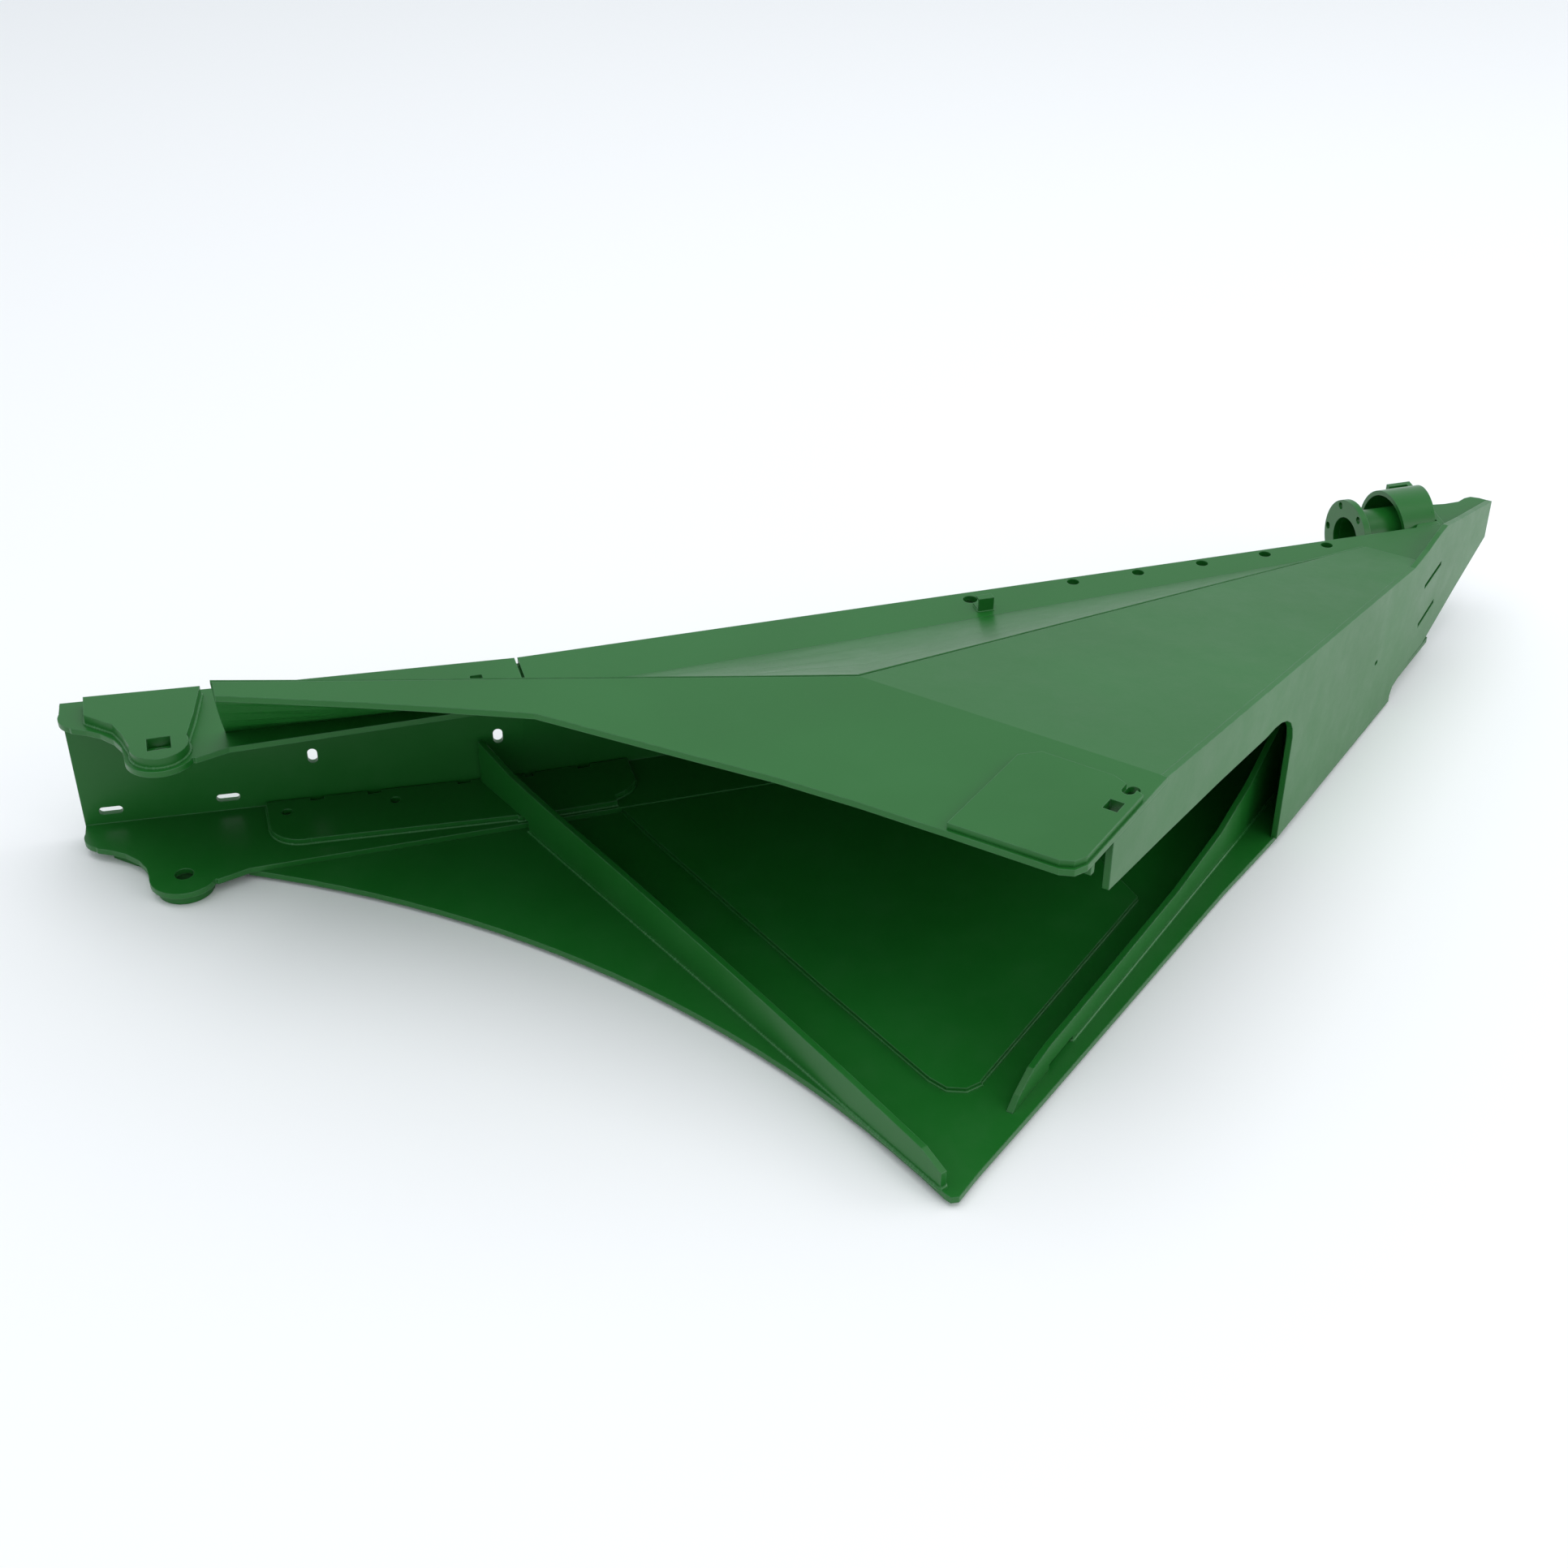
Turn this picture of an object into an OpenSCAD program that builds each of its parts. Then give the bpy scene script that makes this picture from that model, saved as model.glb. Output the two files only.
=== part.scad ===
// Welded steel side arm of a farm machine: a kinked channel rail, a raised
// folded hood, a windowed side plate, a floor plate and a tube hub.
// Millimetres. X runs along the straight part of the rail, Y to its back, Z up.
// The origin is the middle of the lug hole, on the underside of the lower flange.

/* [Plate] */
// Thickness of the formed plates
plate_t = 8; // [6:0.5:10]
// Thickness of the flat doublers inside the box
doubler_t = 6; // [4:0.5:8]

/* [Rail] */
// Height of the channel over both flanges
rail_h = 193; // [160:1:240]
// Width of the flanges, from the back of the web
flange_w = 118; // [100:1:130]
// Length of the rail left of the kink
rail_left = 586; // [540:1:640]
// Length of the rail right of the kink
rail_right = 1393; // [1320:1:1440]
// Angle of the kink
kink = 4.9; // [2:0.1:7]
// Diameter of the holes in the top strip
strip_hole_d = 17.5; // [12:0.5:22]
// Distance between those holes
strip_pitch = 100; // [80:1:110]
// Number of evenly spaced strip holes
strip_holes = 5; // [3:1:5]

/* [Lug] */
// Diameter of the hole in each lug
lug_hole_d = 24; // [18:0.5:28]
// Radius of the lug's nose
lug_r = 44; // [40:1:50]
// Thickness of the lug doublers
lug_doubler_t = 14; // [8:1:18]
// Side of the square hole in the lug doublers
lug_square = 29; // [26:0.5:32]

/* [Hood] */
// Height of the hood's flat top over the rail's underside
hood_z = 333; // [300:1:380]
// Length of the fold between the flat and the sloping part
ridge_len = 400; // [390:1:420]
// Run of the sloping part down to the rail
slope_run = 907; // [890:1:925]
// Angle between the rail and the side plate
side_angle = 40.4; // [39:0.1:42]

/* [Hub] */
// Outer diameter of the large hub tube
hub_tube_d = 134; // [120:1:146]
// Wall of the large hub tube
hub_tube_wall = 7; // [5:0.5:10]
// Outer diameter of the inner tube
inner_tube_d = 82; // [70:1:90]
// Bore of the inner tube and its flange
inner_bore_d = 69; // [50:0.5:72]
// Diameter of the bolt flange
hub_flange_d = 121; // [117:1:134]
// Thickness of the bolt flange
hub_flange_t = 10; // [8:0.5:14]
// Bolt circle of the flange
hub_pcd = 104; // [100:1:106]
// Diameter of the flange's bolt holes
hub_bolt_d = 11; // [8:0.5:13]

/* [Hidden] */
$fn = 64;
ARM_GREEN = [0.22, 0.47, 0.24];

lug_xy = [-465, -107];
fold_xy = [345, -399];
side_q = ridge_len - 12;            // inner face of the side plate, from fold_xy
side_out = side_q + plate_t;
flange_top = plate_t;               // inside face of the lower flange
strip_first_x = 794;                // first strip hole, from the kink
strip_y = -13;                      // line of the strip holes, in front of the web's back
flange_hole_d = 14;
flange_holes = [[-325, -13], [-182, -25], [-40, -38]];
slope_back_q = 310;               // across the side plate, where the slope's back edge ends
lip_height = 26;
slope_fall = hood_z - rail_h - plate_t;
slope_deg = atan(slope_fall / slope_run);
weld_gap = 0.3;

// Hub line, just behind the web and high enough to clear the lower flange
hub_y = hub_tube_d / 2 + 1;
hub_z = rail_h - 43;
hub_flange_x = 1276;
hub_tube_x = 1338;
bracket_x = 1389;                   // where the bracket's end wall leaves the web
bracket_lean = 10;                  // its lean away from square, in degrees
bracket_y = 2 * hub_y;              // inner face of the bracket's back wall
bracket_z = 66;
bracket_end = bracket_x + bracket_y * tan(bracket_lean);
hub_end = bracket_x + hub_y * tan(bracket_lean);
upper_lug_z = 149;                  // undersides of the two end lugs
lower_lug_z = 96;
lug_relief_x = hub_end + 20;        // where the upper lug starts past the bore

// Half width of the hub tube where the top gusset meets it
gusset_cut = sqrt(pow(hub_tube_d / 2, 2) - pow(rail_h - plate_t - hub_z, 2)) + weld_gap;

// Inner rib on the floor and wall across it
rib_q = 345;
rib_t = 8;
wall_from = [-60, -12];
wall_to = [279, -908];
wall_run = norm(wall_to - wall_from);
wall_turn = atan2(wall_to[1] - wall_from[1], wall_to[0] - wall_from[0]);

// Centre of the circle through three points
function through(a, b, c) =
    let (d = 2 * (a[0] * (b[1] - c[1]) + b[0] * (c[1] - a[1]) + c[0] * (a[1] - b[1])),
         aa = a * a, bb = b * b, cc = c * c)
    [(aa * (b[1] - c[1]) + bb * (c[1] - a[1]) + cc * (a[1] - b[1])) / d,
     (aa * (c[0] - b[0]) + bb * (a[0] - c[0]) + cc * (b[0] - a[0])) / d];

// A point given along (p) and across (q) the side plate's direction
function plan(p, q) = fold_xy + [p * cos(side_angle) + q * sin(side_angle),
                                 p * sin(side_angle) - q * cos(side_angle)];

// Puts the lug hole at the origin
module place() {
    translate([-lug_xy[0], -lug_xy[1], 0]) children();
}

// Local frame of the side plate: +X along it, -Y towards it, from the fold's back end
module along_side() {
    translate([fold_xy[0], fold_xy[1], 0]) rotate([0, 0, side_angle]) children();
}

// Local frame of the rail's left part: -X along it from the kink
module along_left() {
    rotate([0, 0, -kink]) children();
}

// Round-ended slot, centred, along X
module slot2d(length, width) {
    square([length - width, width], center = true);
    for (side = [-1, 1]) translate([side * (length - width) / 2, 0]) circle(d = width);
}

left_end = [-rail_left * cos(kink), rail_left * sin(kink)];

// Outline that both flanges share, with the lug at the left end
module flange_outline() {
    difference() {
        union() {
            polygon([left_end, [0, 0], [rail_right, 0], [rail_right, -flange_w],
                     [-383, -flange_w], [-424, -131], lug_xy, [-509, -100], [-511, -81],
                     [-520, -60], [-536, -40], [-553, -27], [-571, -17], [-586, 10]]);
            translate(lug_xy) circle(r = lug_r);
            translate([-557, 12]) circle(r = 30);
        }
        beyond_side();
    }
}

// Everything on the far side of the side plate's inner face
module beyond_side() {
    translate(fold_xy) rotate(side_angle) translate([0, -side_q - 1000]) square([2400, 1000]);
}

module web_outline() {
    polygon([left_end, [0, 0], [rail_right, 0], [rail_right, -plate_t], [0, -plate_t],
             left_end - [plate_t * sin(kink), plate_t * cos(kink)]]);
}

module main_rail() place() color(ARM_GREEN) {
    difference() {
        union() {
            linear_extrude(plate_t) flange_outline();
            translate([0, 0, rail_h - plate_t]) linear_extrude(plate_t) flange_outline();
            linear_extrude(rail_h) difference() { web_outline(); beyond_side(); }
        }
        lug_holes();
        top_strip_cuts();
        lower_flange_cuts();
        web_cuts();
    }
}

module lug_holes() {
    translate([lug_xy[0], lug_xy[1], -1]) cylinder(h = rail_h + 2, d = lug_hole_d);
}

module top_strip_cuts() {
    for (i = [0 : strip_holes - 1])
        translate([strip_first_x + i * strip_pitch, strip_y, rail_h - plate_t - 1])
            cylinder(h = plate_t + 2, d = strip_hole_d);
    translate([636, -20, rail_h - plate_t - 1]) cylinder(h = plate_t + 2, d = strip_hole_d + 3);
    translate([-68, -44, rail_h - plate_t - 1]) cube([16, 14, plate_t + 2]);
    translate([-3, -54, rail_h - plate_t - 1]) cube([4, 55, plate_t + 2]);
}

module lower_flange_cuts() {
    for (at = flange_holes)
        translate([at[0], at[1], -1]) cylinder(h = plate_t + 2, d = flange_hole_d);
    translate([-14, -101, -1]) mirror([0, 1, 0]) cube([26, 30, plate_t + 2]);
    translate([-4, -20, -1]) cube([11, 11, plate_t + 2]);
}

module web_cuts() {
    for (x = [-550, -398])
        along_left() translate([x, plate_t, 28]) rotate([90, 0, 0])
            linear_extrude(3 * plate_t) slot2d(31, 11);
    for (x = [-281, -34])
        along_left() translate([x, plate_t, 79]) rotate([90, 0, 0])
            linear_extrude(3 * plate_t) rotate(90) slot2d(22, 13);
}

// Doubler that follows the lug's nose, set back from its edge
module lug_doubler_outline() {
    difference() {
        union() {
            polygon([[-553, -12], [-519, -45], [-509, -70], [-499, -108], lug_xy,
                     [-432, -100], [-420, -47], [-408, 20], [-553, 34]]);
            translate(lug_xy) circle(r = lug_r - 8);
        }
        translate(lug_xy) square(lug_square, center = true);
    }
}

module top_lug_doubler() place() color(ARM_GREEN) {
    translate([0, 0, rail_h]) linear_extrude(lug_doubler_t) lug_doubler_outline();
}

module bottom_lug_doubler() place() color(ARM_GREEN) {
    translate([0, 0, -lug_doubler_t]) linear_extrude(lug_doubler_t) lug_doubler_outline();
}

module lower_flange_doubler() place() color(ARM_GREEN) {
    translate([0, 0, flange_top]) linear_extrude(plate_t) difference() {
        union() {
            polygon([[-350, 18], [-350, -40], [-300, -84], [-30, -108], [-30, -112],
                     [104, -112], [104, -98], [118, -92], [118, -45], [140, -45],
                     [140, -12], [0, -12]]);
            translate([-305, -39]) circle(r = 45);
            translate([103, -57]) circle(r = 37);
        }
        for (at = flange_holes) translate(at) circle(d = flange_hole_d);
        for (at = [[-292, 5], [-216, -1], [-95, -11], [69, -19]]) translate(at) square([18, 9]);
        translate([-14, -130]) square([26, 29]);
        translate([-4, -20]) square([11, 11]);
        translate([left_end[0], left_end[1] - plate_t - weld_gap]) rotate(-kink)
            square([rail_left, 60]);
    }
}

// Flat part of the hood, seen from above
module hood_flat_outline() {
    polygon([[-388, -196], fold_xy, plan(0, side_q), plan(0, side_out), plan(-196, side_out),
             plan(-212, side_out - 7), plan(-219, side_out - 22), plan(-223, 241),
             plan(-227, 139), plan(-235, 35), [95, -494], [-38, -373], [-152, -323],
             [-231, -290], [-387, -229]]);
}

module hood_tab_holes(h) {
    along_side() {
        translate([-94, -375, hood_z - plate_t - 1]) cube([20, 17, h], center = true);
        translate([-52, -376, hood_z - plate_t - 1 - h / 2]) linear_extrude(h) slot2d(30, 15);
    }
}

module hood_plate() place() color(ARM_GREEN) {
    difference() {
        union() {
            translate([0, 0, hood_z - plate_t]) linear_extrude(plate_t) hood_flat_outline();
            along_side() translate([0, 0, hood_z]) rotate([0, slope_deg, 0])
                translate([0, 0, -plate_t]) linear_extrude(plate_t)
                    polygon([[0, 0], [0, -side_q], [slope_run / cos(slope_deg), -side_q],
                             [slope_run / cos(slope_deg), -slope_back_q]]);
        }
        hood_tab_holes(60);
        linear_extrude(rail_h) square(5000, center = true);
    }
}

module corner_doubler() place() color(ARM_GREEN) {
    difference() {
        translate([0, 0, hood_z]) linear_extrude(plate_t)
            polygon([plan(-219, 242), plan(-215, side_out - 24), plan(-208, side_out - 10),
                     plan(-194, side_out - 3), plan(-58, side_out - 3), plan(-40, 350),
                     plan(-40, 262), plan(-60, 242)]);
        hood_tab_holes(60);
    }
}

module hood_lip_rib() place() color(ARM_GREEN) {
    along_side() translate([-168, -side_q, hood_z - plate_t - lip_height])
        cube([plate_t, 130, lip_height]);
}

// Back of the hood: a ruled sheet from the hood's back edge down to the top flange.
// Each station holds its upper and its lower point.
back_stations = [
    [[-390, -191, hood_z], [-384, -76, rail_h]],
    [[-231, -237, hood_z], [-262, -82, rail_h]],
    [[-81, -278, hood_z], [-110, -90, rail_h]],
    [[68, -319, hood_z], [90, -90, rail_h]],
    [[216, -360, hood_z], [300, -86, rail_h]],
    [[345, -395, hood_z], [479, -80, rail_h]]
];
slope_stations = 6;
function slope_upper(u) = let (xy = plan(slope_run * u, slope_back_q * u - 4))
    [xy[0], xy[1], max(rail_h + plate_t, hood_z - slope_fall * u)];
function slope_lower(u) = [479 + 758 * u, -80 + 37 * u, rail_h];
back_rows = concat(back_stations,
    [for (i = [1 : slope_stations]) [slope_upper(i / slope_stations),
                                     slope_lower(i / slope_stations)]]);
back_across = 6;                    // strips from the upper to the lower edge
function bulge(v, len) = 0.10 * len * sin(180 * v);
function sheet_point(row, v, off) =
    let (a = row[0], b = row[1], d = b - a, n = cross([1, -0.1, 0], d) / max(1, norm(d)))
    a + d * v - n * (bulge(v, norm(d)) * 0.35 + off);

module hood_back_panel() place() color(ARM_GREEN) {
    rows = len(back_rows);
    across = back_across + 1;
    layer = rows * across;
    points = [for (off = [0, plate_t / 2]) for (r = back_rows)
                  for (j = [0 : back_across]) sheet_point(r, j / back_across, off)];
    outer = [for (i = [0 : rows - 2]) for (j = [0 : back_across - 1])
                let (a = i * across + j) each [[a, a + 1, a + across + 1],
                                               [a, a + across + 1, a + across]]];
    inner = [for (f = outer) [for (k = [2, 1, 0]) f[k] + layer]];
    rim = concat([for (j = [0 : back_across]) j],
                 [for (i = [1 : rows - 1]) i * across + back_across],
                 [for (j = [back_across - 1 : -1 : 0]) (rows - 1) * across + j],
                 [for (i = [rows - 2 : -1 : 1]) i * across]);
    n = len(rim);
    sides = [for (k = [0 : n - 1]) let (a = rim[k], b = rim[(k + 1) % n])
                each [[b, a, a + layer], [b, a + layer, b + layer]]];
    difference() {
        polyhedron(points, concat(outer, inner, sides), convexity = 6);
        linear_extrude(rail_h) square(5000, center = true);
    }
}

// Side plate, drawn in its own plane: along it and up
module side_outline() {
    top = function (p) hood_z - slope_fall * p / slope_run;
    polygon([[-134, hood_z - plate_t], [0, hood_z - plate_t], [0, top(0)], [871, top(871)],
             [930, 209], [981, 215], [1009, 216], [1082, 197], [1250, 157], [1251, 95],
             [1118, 63], [989, 28], [930, 27], [864, 14], [856, 0], [425, 0], [425, 158],
             [419, 176], [408, 190], [392, 201], [372, 209], [350, 213], [321, 214],
             [172, 232], [15, 248], [-134, 262]]);
}

module side_plate() place() color(ARM_GREEN) {
    along_side() translate([0, -side_q, 0]) rotate([90, 0, 0]) linear_extrude(plate_t)
        difference() {
            side_outline();
            translate([976, 149]) rotate(8) square([70, 8], center = true);
            translate([976, 85]) rotate(11) square([66, 8], center = true);
            translate([755, 108]) slot2d(11, 7);
        }
}

arc_start = [-385, -110];
arc_mid = [77, -524];
arc_end = [278, -918];
arc_centre = through(arc_start, arc_mid, arc_end);
arc_r = norm(arc_mid - arc_centre);

module floor_plate() place() color(ARM_GREEN) {
    translate([0, 0, -plate_t]) linear_extrude(plate_t) difference() {
        polygon([arc_start, arc_end, [282, -925], [291, -926], plan(-340, side_q - 22),
                 plan(-200, side_q - 17), plan(280, side_q - 4), plan(425, side_q + 4),
                 plan(858, side_out),
                 plan(900, side_q - 60), [1100, 8 - flange_w], arc_start + [70, 0]]);
        translate(arc_centre) circle(r = arc_r, $fn = 256);
        translate([-14, -130]) square([26, 29]);
    }
}

module floor_doubler() place() color(ARM_GREEN) {
    linear_extrude(doubler_t) polygon([[109, -flange_w - 1], [138, -210], [175, -318],
        [252, -546], [322, -745], [335, -766], [356, -774], [377, -768], plan(-215, 300),
        plan(-90, 300), plan(200, 300), [640, -flange_w - 1]]);
}

// Heights of the wall's top edge along its run
module wall_profile() {
    polygon([[0, flange_top + plate_t], [122, flange_top + plate_t], [122, 0],
             [wall_run, 0], [wall_run, 22], [925, 34], [790, 43], [655, 50], [520, 55],
             [350, 60], [170, 63], [80, 67], [0, 80]]);
}

module diagonal_wall() place() color(ARM_GREEN) {
    translate([wall_from[0], wall_from[1], 0]) rotate([0, 0, wall_turn])
        translate([0, rib_t / 2, 0]) rotate([90, 0, 0]) linear_extrude(rib_t) wall_profile();
}

module floor_rib() place() color(ARM_GREEN) {
    along_side() translate([0, -rib_q, 0]) rotate([90, 0, 0]) linear_extrude(rib_t)
        difference() {
            polygon([[-238, 0], [-222, 14], [-190, 31], [-150, 36], [0, 35], [200, 36],
                     [330, 48], [420, 74], [500, 116], [530, 124], [530, 0]]);
            translate([-150, -1]) square([60, 9]);
        }
}

module hose_clip() place() color(ARM_GREEN) {
    translate([634, -58, rail_h]) {
        cube([22, 22, 3]);
        cube([22, 3, 20]);
        translate([0, 0, 17]) cube([22, 12, 3]);
    }
}

module tube(length, outer, bore) {
    rotate([0, 90, 0]) difference() {
        cylinder(h = length, d = outer);
        translate([0, 0, -1]) cylinder(h = length + 2, d = bore);
    }
}

// Frame of the bracket's end wall: its inner face is at X = 0
module on_bracket() {
    translate([bracket_x, 0, 0]) rotate([0, 0, -bracket_lean]) children();
}

// Trims what runs into the bracket's end wall
module to_bracket() {
    difference() {
        children();
        on_bracket() translate([0, -200, -100]) cube([400, 700, 600]);
    }
}

module on_hub(x) {
    translate([x, hub_y, hub_z]) children();
}

module hub_outer_tube() place() color(ARM_GREEN) {
    to_bracket() on_hub(hub_tube_x)
        tube(hub_end - hub_tube_x + 40, hub_tube_d, hub_tube_d - 2 * hub_tube_wall);
}

module hub_inner_tube() place() color(ARM_GREEN) {
    to_bracket() on_hub(hub_flange_x + hub_flange_t)
        tube(hub_end - hub_flange_x + 40, inner_tube_d, inner_bore_d);
}

module hub_bolt_flange() place() color(ARM_GREEN) {
    on_hub(hub_flange_x) difference() {
        tube(hub_flange_t, hub_flange_d, inner_bore_d);
        for (i = [0 : 5]) rotate([i * 60 + 30, 0, 0]) translate([-1, 0, hub_pcd / 2])
            rotate([0, 90, 0]) cylinder(h = hub_flange_t + 2, d = hub_bolt_d);
    }
}

module hub_bracket() place() color(ARM_GREEN) {
    wall = plate_t / cos(bracket_lean);
    outer_y = bracket_y + plate_t;
    difference() {
        translate([0, 0, bracket_z]) linear_extrude(rail_h - bracket_z)
            polygon([[bracket_x, 0], [bracket_end, bracket_y], [bracket_end - 30, bracket_y],
                     [bracket_end - 30, outer_y],
                     [bracket_x + wall + outer_y * tan(bracket_lean), outer_y],
                     [bracket_x + wall, 0]]);
        on_hub(hub_end - 20) rotate([0, 90, 0]) cylinder(h = 60, d = inner_bore_d);
    }
}

module rear_gusset() place() color(ARM_GREEN) {
    translate([0, 0, rail_h - plate_t]) linear_extrude(plate_t) difference() {
        polygon([[1349, 0], [1391, 42], [bracket_x + 42 * tan(bracket_lean), 42],
                 [bracket_x, 0]]);
        translate([hub_tube_x - 1, hub_y - gusset_cut]) square([90, 2 * gusset_cut]);
    }
}

module tube_saddle() place() color(ARM_GREEN) {
    difference() {
        translate([hub_tube_x + 8, 0, hub_z - 58]) cube([bracket_x - hub_tube_x - 14, 40, 30]);
        on_hub(hub_tube_x) rotate([0, 90, 0]) cylinder(h = 100, d = hub_tube_d + weld_gap);
    }
}

module end_lug_outline() {
    difference() {
        polygon([[rail_right, 1], [rail_right, 125], [1452, 126],
                 [1478, 122], [1503, 123], [1518, 131], [1530, 133], [1541, 125],
                 [1550, 113], plan(1240, 400)]);
        beyond_side();
        translate([bracket_x, 0]) rotate(-bracket_lean) translate([-100, -20])
            square([100 + plate_t, 200]);
    }
}

// The upper lug is cut back where the hub's bore comes out of the bracket
module upper_end_lug() place() color(ARM_GREEN) {
    relief = inner_bore_d + 6;
    translate([0, 0, upper_lug_z]) linear_extrude(plate_t) difference() {
        end_lug_outline();
        translate([bracket_x - 10, hub_y - relief / 2])
            square([lug_relief_x - bracket_x + 10, relief]);
    }
}

module lower_end_lug() place() color(ARM_GREEN) {
    translate([0, 0, lower_lug_z]) linear_extrude(plate_t) end_lug_outline();
}

main_rail();
top_lug_doubler();
bottom_lug_doubler();
lower_flange_doubler();
hood_plate();
hood_back_panel();
corner_doubler();
hood_lip_rib();
side_plate();
floor_plate();
floor_doubler();
diagonal_wall();
floor_rib();
hose_clip();
hub_outer_tube();
hub_inner_tube();
hub_bolt_flange();
hub_bracket();
rear_gusset();
upper_end_lug();
lower_end_lug();
tube_saddle();
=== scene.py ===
# %% [markdown]
# # A welded side arm in green enamel
#
# The arm is plate steel: a channel rail with a kink, a raised folded hood, a side
# plate with a window, a floor and a tube hub. The frame already holds every plate at
# its real size. What Blender adds is what a fabricator and a paint shop add: softened
# edges, weld beads along the seams, and a coat of enamel with its small faults.

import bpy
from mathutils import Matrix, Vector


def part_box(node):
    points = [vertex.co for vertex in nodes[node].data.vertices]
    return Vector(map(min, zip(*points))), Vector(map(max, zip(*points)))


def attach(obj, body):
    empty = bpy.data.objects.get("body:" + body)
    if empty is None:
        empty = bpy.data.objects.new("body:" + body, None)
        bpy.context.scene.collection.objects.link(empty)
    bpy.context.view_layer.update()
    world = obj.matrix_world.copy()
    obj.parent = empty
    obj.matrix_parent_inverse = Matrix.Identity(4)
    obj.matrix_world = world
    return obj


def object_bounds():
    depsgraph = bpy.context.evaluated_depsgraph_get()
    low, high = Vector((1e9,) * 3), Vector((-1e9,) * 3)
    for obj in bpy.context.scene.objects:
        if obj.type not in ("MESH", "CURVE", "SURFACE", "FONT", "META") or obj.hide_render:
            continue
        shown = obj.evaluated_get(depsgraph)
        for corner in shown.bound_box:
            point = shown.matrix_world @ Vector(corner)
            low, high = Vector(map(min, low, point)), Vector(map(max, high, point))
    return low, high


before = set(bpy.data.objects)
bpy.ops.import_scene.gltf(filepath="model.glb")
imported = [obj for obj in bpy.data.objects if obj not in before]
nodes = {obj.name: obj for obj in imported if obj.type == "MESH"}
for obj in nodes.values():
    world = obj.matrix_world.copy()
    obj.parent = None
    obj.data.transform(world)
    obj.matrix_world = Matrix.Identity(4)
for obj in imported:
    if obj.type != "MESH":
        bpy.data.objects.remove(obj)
cad_box = [list(corner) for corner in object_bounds()]

import math

import bmesh
import bpy
import numpy as np
from mathutils import Vector

low, high = Vector(cad_box[0]), Vector(cad_box[1])
print("arm", [round(side, 3) for side in (high - low)], "m,", len(nodes), "plates and tubes")


# %% [markdown]
# ## The enamel
#
# A sprayed enamel on steel has three scales of detail. Over a hand's width its colour
# drifts a little, because the coat is thicker in some places. Over a millimetre it has
# orange peel, the fine dimples of a sprayed coat. Every sharp edge is painted paler: partly
# real wear, where the coat pulls thin and rubs through, and partly a painted highlight where
# the edge catches the light. Each scale is one noise or one mask, so the finish holds from any
# side. The Bevel node finds the edges: it compares the true normal with one averaged over a
# small radius, and the two differ only near a corner.

# %% A small helper for node trees
def add(tree, kind, inputs=None, **settings):
    node = tree.nodes.new(kind)
    for name, value in settings.items():
        setattr(node, name, value)
    for name, value in (inputs or {}).items():
        if isinstance(value, bpy.types.NodeSocket):
            tree.links.new(value, node.inputs[name])
        else:
            node.inputs[name].default_value = value
    return node


def ramp(tree, factor, stops):
    node = add(tree, "ShaderNodeValToRGB", {"Fac": factor})
    while len(node.color_ramp.elements) < len(stops):
        node.color_ramp.elements.new(0.5)
    for element, (place, colour) in zip(node.color_ramp.elements, stops):
        element.position = place
        element.color = (*colour, 1) if len(colour) == 3 else colour
    return node.outputs["Color"]


def grey(value):
    return (value, value, value)


# %% The enamel itself
ENAMEL_DEEP = (0.007, 0.116, 0.012)
ENAMEL_FULL = (0.009, 0.132, 0.016)
# Paler green painted on sharp edges: partly real wear, partly a painted highlight where edges
# catch the light
ENAMEL_EDGE_WEAR_AND_HIGHLIGHT = (0.070, 0.230, 0.090)
DUST = (0.060, 0.130, 0.065)

# Noise scales, in repeats per metre: from a hand's width down to orange peel
DRIFT_SCALE = 3.5
HAZE_SCALE = 14.0
SAG_SCALE = 22.0
RUB_SCALE = 60.0
PEEL_SCALE = 420.0


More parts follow.
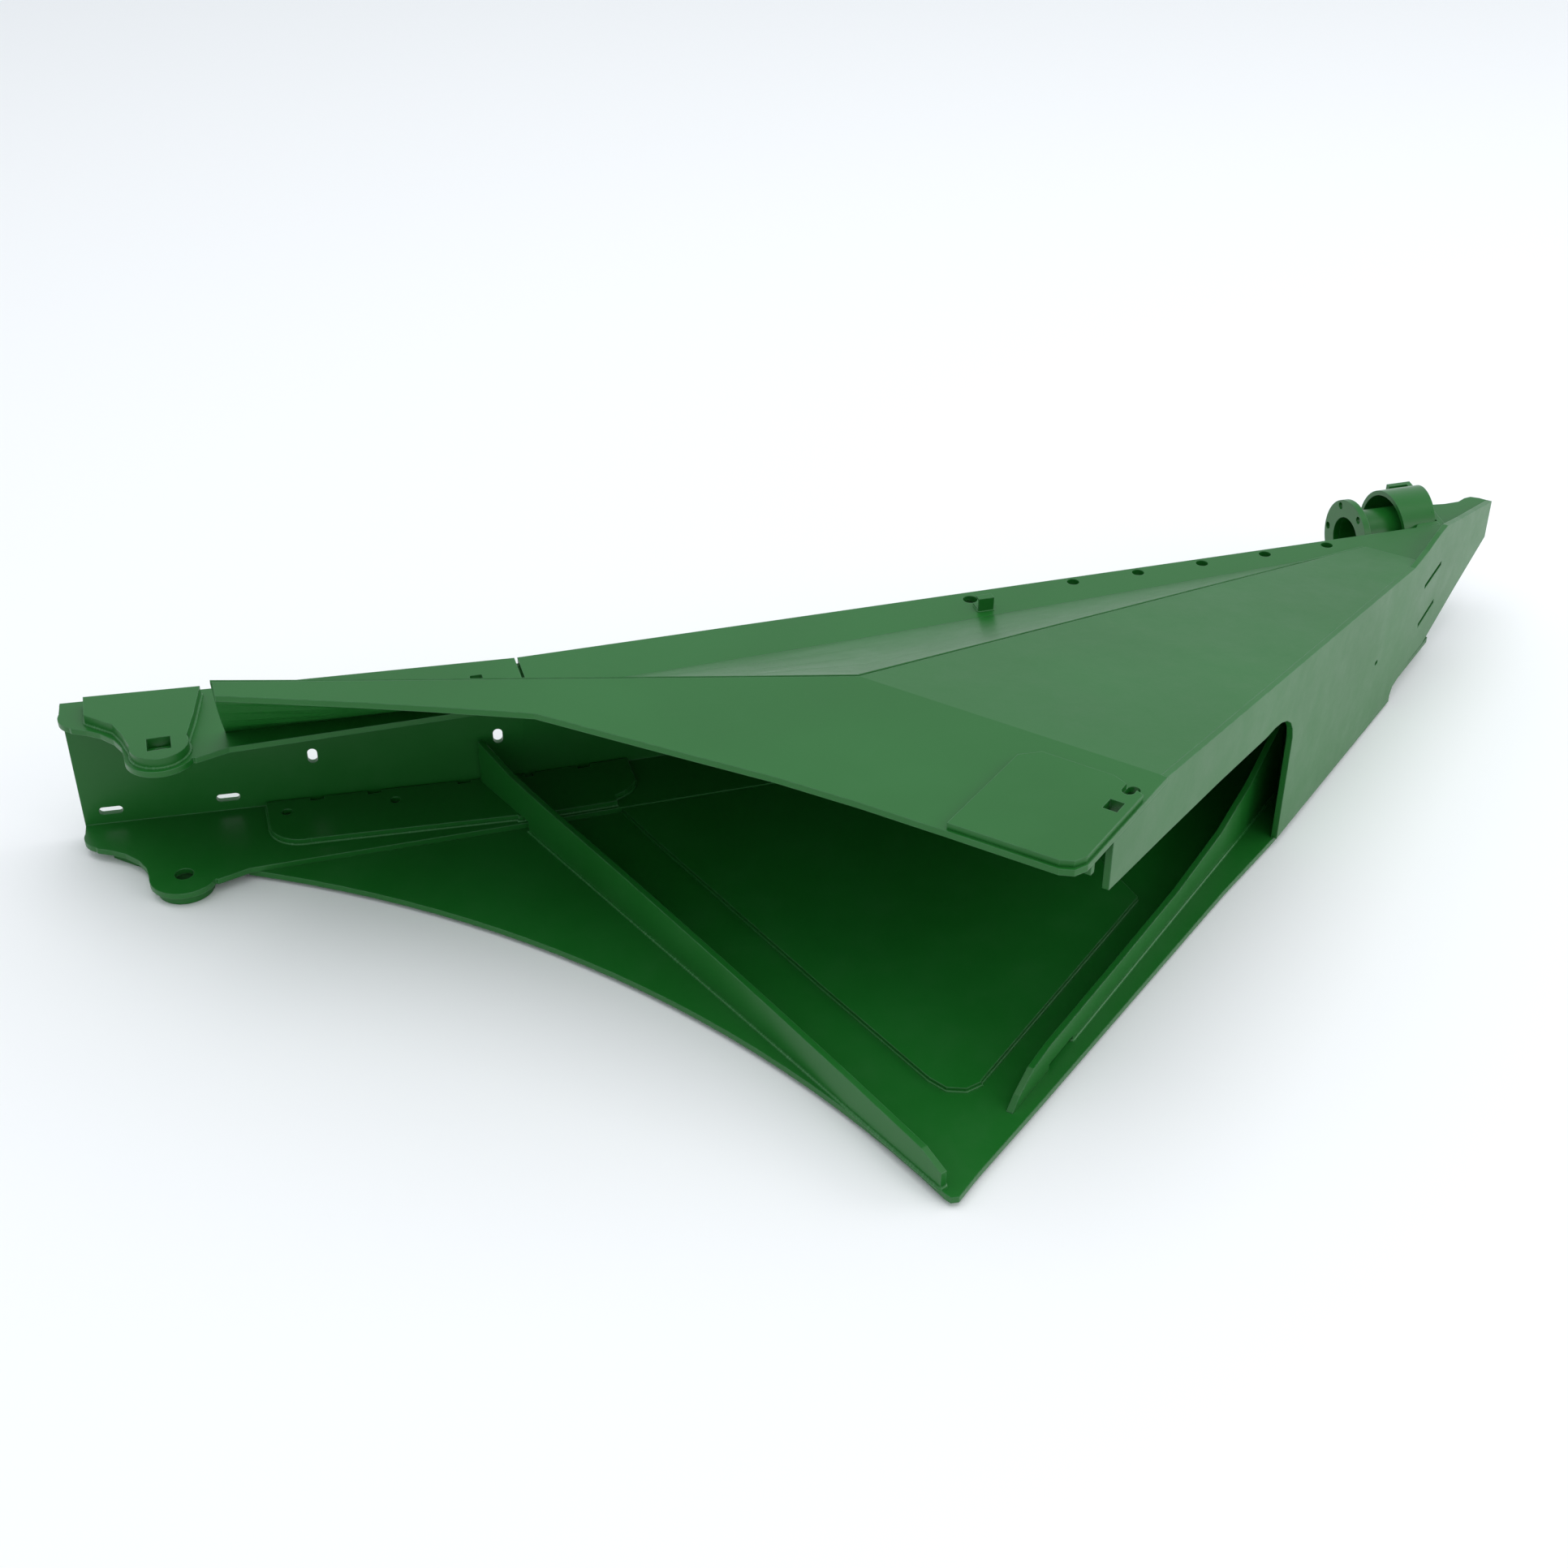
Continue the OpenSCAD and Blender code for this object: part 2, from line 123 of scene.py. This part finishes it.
def enamel(name, gloss=0.38, edge_radius=0.0020, dust=0.08):
    material = bpy.data.materials.new(name)
    material.use_nodes = True
    tree = material.node_tree
    tree.nodes.clear()
    place = add(tree, "ShaderNodeTexCoord").outputs["Object"]

    drift = add(tree, "ShaderNodeTexNoise", {"Vector": place, "Scale": DRIFT_SCALE,
                                             "Detail": 5.0, "Roughness": 0.55})
    coat = ramp(tree, drift.outputs["Fac"], [(0.35, ENAMEL_DEEP), (0.65, ENAMEL_FULL)])

    haze = add(tree, "ShaderNodeTexNoise", {"Vector": place, "Scale": HAZE_SCALE,
                                            "Detail": 8.0, "Roughness": 0.7})
    haze_mask = ramp(tree, haze.outputs["Fac"], [(0.48, grey(0.0)), (0.78, grey(dust))])
    dusty = add(tree, "ShaderNodeMix", {"Factor": haze_mask, "A": coat, "B": (*DUST, 1)},
                data_type="RGBA")

    rounded = add(tree, "ShaderNodeBevel", {"Radius": edge_radius}, samples=4)
    true = add(tree, "ShaderNodeNewGeometry").outputs["True Normal"]
    match = add(tree, "ShaderNodeVectorMath", operation="DOT_PRODUCT")
    tree.links.new(rounded.outputs["Normal"], match.inputs[0])
    tree.links.new(true, match.inputs[1])
    edge = ramp(tree, match.outputs["Value"], [(0.86, grey(1.0)), (0.985, grey(0.0))])
    rub = add(tree, "ShaderNodeTexNoise", {"Vector": place, "Scale": RUB_SCALE,
                                           "Detail": 4.0})
    rub_mask = ramp(tree, rub.outputs["Fac"], [(0.30, grey(0.35)), (0.62, grey(0.95))])
    # Painted highlight and wear: the edge mask, broken up by noise, mixes the paler edge green
    # into the coat
    edge_wear_and_highlight = add(tree, "ShaderNodeMath", operation="MULTIPLY")
    tree.links.new(edge, edge_wear_and_highlight.inputs[0])
    tree.links.new(rub_mask, edge_wear_and_highlight.inputs[1])
    colour = add(tree, "ShaderNodeMix", {"Factor": edge_wear_and_highlight.outputs["Value"],
                                         "A": dusty.outputs["Result"],
                                         "B": (*ENAMEL_EDGE_WEAR_AND_HIGHLIGHT, 1)}, data_type="RGBA")

    peel = add(tree, "ShaderNodeTexNoise", {"Vector": place, "Scale": PEEL_SCALE,
                                            "Detail": 2.0})
    sag = add(tree, "ShaderNodeTexNoise", {"Vector": place, "Scale": SAG_SCALE,
                                           "Detail": 2.0})
    fine = add(tree, "ShaderNodeBump", {"Height": peel.outputs["Fac"], "Strength": 0.10,
                                        "Distance": 0.0004,
                                        "Normal": rounded.outputs["Normal"]})
    broad = add(tree, "ShaderNodeBump", {"Height": sag.outputs["Fac"], "Strength": 0.12,
                                         "Distance": 0.0012, "Normal": fine.outputs["Normal"]})
    shine = ramp(tree, haze.outputs["Fac"],
                 [(0.30, grey(gloss - 0.04)), (0.75, grey(gloss + 0.08))])

    shader = add(tree, "ShaderNodeBsdfPrincipled", {"Base Color": colour.outputs["Result"],
                                                    "Roughness": shine,
                                                    "Normal": broad.outputs["Normal"]})
    shader.inputs["IOR"].default_value = 1.52
    shader.inputs["Specular IOR Level"].default_value = 0.34
    shader.inputs["Coat Weight"].default_value = 0.06
    shader.inputs["Coat Roughness"].default_value = 0.22
    out = add(tree, "ShaderNodeOutputMaterial")
    tree.links.new(shader.outputs["BSDF"], out.inputs["Surface"])
    return material


plate_enamel = enamel("plate_enamel")
tube_enamel = enamel("tube_enamel", gloss=0.30, edge_radius=0.0015, dust=0.05)
bead_enamel = enamel("bead_enamel", gloss=0.34, edge_radius=0.0006, dust=0.06)
print("finishes", [m.name for m in (plate_enamel, tube_enamel, bead_enamel)])


# %% [markdown]
# ## Softened edges
#
# A plate that was cut by laser or plasma and then dressed with a grinder has no razor
# edge. A Bevel modifier takes a fraction of a millimetre off each sharp corner and
# leaves the frame's own mesh as it is. Only edges that turn by more than 30 degrees
# are touched, so round tubes and bores stay round.

# %% Paint and soften every plate and tube
TUBES = ("hub_outer_tube", "hub_inner_tube", "hub_bolt_flange")
EDGE_RADIUS = 0.0009
SHARP_TURN = math.radians(30)


def soften(item, width=EDGE_RADIUS):
    bevel = item.modifiers.new("dressed edge", "BEVEL")
    bevel.width = width
    bevel.segments = 2
    bevel.limit_method = "ANGLE"
    bevel.angle_limit = SHARP_TURN
    bevel.harden_normals = False


for name, item in nodes.items():
    finish = tube_enamel if name in TUBES else plate_enamel
    if not item.material_slots:
        item.data.materials.append(finish)
    for slot in item.material_slots:
        slot.material = finish
    if name != "hood_back_panel":
        soften(item)
print("softened", len(nodes) - 1, "nodes by", EDGE_RADIUS * 1000, "mm")


# %% [markdown]
# ## Weld beads
#
# The plates are joined by fillet welds. A hand-laid bead is a chain of overlapping
# ripples, a few millimetres wide, that follows the seam. The seam is already in the
# frame, as the sharp edge where a plate stands on its neighbour, so the bead is drawn
# from that edge: the edges at one height are collected, chained into a path, and a
# rippled round section is swept along it.

# %% Collect the edges of a node that lie at one height
def seam_paths(name, height, keep=None, tolerance=0.0006):
    mesh = nodes[name].data
    bm = bmesh.new()
    bm.from_mesh(mesh)
    bmesh.ops.remove_doubles(bm, verts=bm.verts, dist=0.00002)
    links = {}
    for edge in bm.edges:
        a, b = (v.co for v in edge.verts)
        if abs(a.z - height) > tolerance or abs(b.z - height) > tolerance:
            continue
        if len(edge.link_faces) != 2 or edge.calc_face_angle(0) < math.radians(25):
            continue
        if keep is not None and not keep((a + b) / 2):
            continue
        i, j = edge.verts[0].index, edge.verts[1].index
        links.setdefault(i, []).append(j)
        links.setdefault(j, []).append(i)
    places = {v.index: v.co.copy() for v in bm.verts if v.index in links}
    bm.free()
    return chains(links, places)


def chains(links, places):
    found, used = [], set()
    starts = sorted(links, key=lambda i: (len(links[i]) != 1, i))
    for start in starts:
        if start in used:
            continue
        path, here = [start], start
        used.add(start)
        while True:
            onward = [j for j in links[here] if j not in used]
            if not onward:
                break
            here = onward[0]
            used.add(here)
            path.append(here)
        closed = len(path) > 2 and path[0] in links[path[-1]]
        if closed:
            path.append(path[0])
        found.append([places[i] for i in path])
    return sorted(found, key=path_length, reverse=True)


def path_length(path):
    return sum((b - a).length for a, b in zip(path, path[1:]))


# %% Sweep a rippled bead along a path
RIPPLE = 0.0042                       # length of one ripple
RIPPLE_STEPS = 3                      # rings of the section in each ripple
BEAD_SIDES = 8


def resample(path, step):
    total = path_length(path)
    count = max(2, int(total / step))
    marks = [total * i / count for i in range(count + 1)]
    out, walked, k = [], 0.0, 0
    for mark in marks:
        while k < len(path) - 2 and walked + (path[k + 1] - path[k]).length < mark:
            walked += (path[k + 1] - path[k]).length
            k += 1
        span = (path[k + 1] - path[k]).length or 1.0
        out.append(path[k].lerp(path[k + 1], min(1.0, (mark - walked) / span)))
    return out


def bead(name, path, radius=0.0032, seed=1):
    points = resample(path, RIPPLE / RIPPLE_STEPS)
    random = np.random.default_rng(seed)
    wobble = random.normal(0, 0.04, len(points))
    bm = bmesh.new()
    rings = []
    for i, point in enumerate(points):
        ahead = points[min(i + 1, len(points) - 1)] - points[max(i - 1, 0)]
        ahead = ahead.normalized() if ahead.length > 1e-9 else Vector((1, 0, 0))
        across = ahead.cross(Vector((0, 0, 1)))
        across = across.normalized() if across.length > 1e-6 else Vector((0, 1, 0))
        up = across.cross(ahead)
        phase = (i % RIPPLE_STEPS) / RIPPLE_STEPS
        size = radius * (0.88 + 0.16 * math.sin(math.pi * phase) + wobble[i])
        taper = min(1.0, (min(i, len(points) - 1 - i) + 1) / 4)
        ring = []
        for s in range(BEAD_SIDES):
            turn = 2 * math.pi * s / BEAD_SIDES
            ring.append(bm.verts.new(point + (across * math.cos(turn) + up * math.sin(turn))
                                     * size * taper))
        rings.append(ring)
    for a, b in zip(rings, rings[1:]):
        for s in range(BEAD_SIDES):
            t = (s + 1) % BEAD_SIDES
            bm.faces.new((a[s], a[t], b[t], b[s]))
    bm.faces.new(rings[0][::-1])
    bm.faces.new(rings[-1])
    bmesh.ops.recalc_face_normals(bm, faces=bm.faces)
    mesh = bpy.data.meshes.new(name)
    bm.to_mesh(mesh)
    bm.free()
    for face in mesh.polygons:
        face.use_smooth = True
    piece = bpy.data.objects.new(name, mesh)
    bpy.context.scene.collection.objects.link(piece)
    mesh.materials.append(bead_enamel)
    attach(piece, "root")
    return piece


# %% [markdown]
# ## Which seams are welded
#
# Four doublers, the wall, the rib and the clip each get one bead, along their longest
# seam at the level where they stand on a neighbour. The hub gets one where its inner
# tube meets the flange. The levels come from the frame, so the beads stay on the
# plates if a size changes.

# %% Lay the beads round plates
SEAMS = (("top_lug_doubler", "low", 0.0030), ("lower_flange_doubler", "low", 0.0026),
         ("diagonal_wall", "foot", 0.0030), ("floor_rib", "low", 0.0028),
         ("floor_doubler", "low", 0.0020), ("hose_clip", "low", 0.0016),
         ("bottom_lug_doubler", "high", 0.0030))
SHORTEST_BEAD = 0.05
FIRST_SEED = 7
HUB_SEED = 31
HUB_BEAD = 0.0034
beads = []
for name, level, radius in SEAMS:
    bottom, top = (corner[2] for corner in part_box(name))
    height = {"low": bottom, "foot": 0.0, "high": top}[level]
    paths = [p for p in seam_paths(name, height) if path_length(p) > SHORTEST_BEAD][:1]
    for k, path in enumerate(paths):
        beads.append(bead(f"weld_{name}_{k}", path, radius, seed=len(beads) + FIRST_SEED))
print("beads", [(b.name, len(b.data.vertices)) for b in beads])


# %% Lay the beads round the hub
def ring(centre, radius, turns=72):
    return [centre + Vector((0, radius * math.cos(a), radius * math.sin(a)))
            for a in (2 * math.pi * i / turns for i in range(turns + 1))]


flange_low, flange_high = (Vector(c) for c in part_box("hub_bolt_flange"))
inner_low, inner_high = (Vector(c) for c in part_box("hub_inner_tube"))
hub_axis = (flange_low + flange_high) / 2
inner_radius = (inner_high.z - inner_low.z) / 2
neck = Vector((flange_high.x, hub_axis.y, hub_axis.z))
beads.append(bead("weld_hub_neck", ring(neck, inner_radius), HUB_BEAD, seed=HUB_SEED))
print("hub weld radius", round(inner_radius * 1000, 1), "mm")


# %% [markdown]
# ## Floor, light and camera
#
# A pale floor and soft light show the folds without hard shadows. One large light
# stands far off past the hub, where the sloping half of the hood and the side plate
# mirror it, so they turn pale while the level plates stay a full green. A light
# that stands far off falls evenly on both ends of a long object. The widest one hangs
# overhead and, with a bright sky, fills the box.

# %% Floor
FLOOR_SIZE = 40.0
FLOOR_DROP = 0.0005                   # keeps the floor just clear of the lowest plate


def studio_floor():
    mesh = bpy.data.meshes.new("studio_floor")
    half = FLOOR_SIZE / 2
    corners = [(-half, -half, 0), (half, -half, 0), (half, half, 0), (-half, half, 0)]
    mesh.from_pydata(corners, [], [(0, 1, 2, 3)])
    floor = bpy.data.objects.new("studio_floor", mesh)
    floor.location = ((low.x + high.x) / 2, (low.y + high.y) / 2, low.z - FLOOR_DROP)
    bpy.context.scene.collection.objects.link(floor)
    material = bpy.data.materials.new("pale_floor")
    material.use_nodes = True
    shader = material.node_tree.nodes["Principled BSDF"]
    shader.inputs["Base Color"].default_value = (0.93, 0.93, 0.93, 1)
    shader.inputs["Roughness"].default_value = 0.75
    shader.inputs["Specular IOR Level"].default_value = 0.2
    mesh.materials.append(material)
    return floor


floor = studio_floor()
print("floor at", round(floor.location.z, 4))


# %% Lights
def soft_light(name, place, target, size, power, colour=(1, 1, 1)):
    data = bpy.data.lights.new(name, "AREA")
    data.shape = "RECTANGLE"
    data.size, data.size_y = size
    data.energy = power
    data.color = colour
    lamp = bpy.data.objects.new(name, data)
    lamp.location = place
    lamp.rotation_euler = (Vector(target) - Vector(place)).to_track_quat("-Z", "Y").to_euler()
    bpy.context.scene.collection.objects.link(lamp)
    return lamp


middle = (low + high) / 2
soft_light("side_softbox", middle + Vector((8.4, -0.8, 3.6)), middle, (5.0, 4.0), 150)
soft_light("front_softbox", middle + Vector((4.5, -4.8, 3.6)), middle, (3.4, 3.4), 60)
soft_light("overhead_softbox", middle + Vector((0.2, 0.2, 5.5)), middle, (6.0, 6.0), 120)

world = bpy.data.worlds.new("studio_world")
bpy.context.scene.world = world
world.use_nodes = True
world.node_tree.nodes["Background"].inputs["Color"].default_value = (0.9, 0.95, 1.0, 1)
world.node_tree.nodes["Background"].inputs["Strength"].default_value = 0.80

# The plain view shows each paint at the colour it was mixed, and lets the floor go white
bpy.context.scene.view_settings.view_transform = "Standard"


# %% Camera
RAIL_HEADING = math.radians(73.5)     # from the camera's own heading to the rail
CAMERA_PITCH = math.radians(33.6)
CAMERA_PLACE = Vector((0.122, -2.304, 1.5916))
SENSOR_WIDTH = 36.0
FRAME_WIDTH = 1932                    # lens and frame are on the same scale
LENS = 2575

data = bpy.data.cameras.new("studio_camera")
data.sensor_width = SENSOR_WIDTH
data.lens = SENSOR_WIDTH * LENS / FRAME_WIDTH
camera = bpy.data.objects.new("studio_camera", data)
heading = Vector((math.cos(RAIL_HEADING), math.sin(RAIL_HEADING), 0))
look = heading * math.cos(CAMERA_PITCH) - Vector((0, 0, math.sin(CAMERA_PITCH)))
camera.location = CAMERA_PLACE
camera.rotation_euler = look.to_track_quat("-Z", "Y").to_euler()
bpy.context.scene.collection.objects.link(camera)
bpy.context.scene.camera = camera
print("camera at", [round(v, 3) for v in camera.location], "lens", round(data.lens, 2))
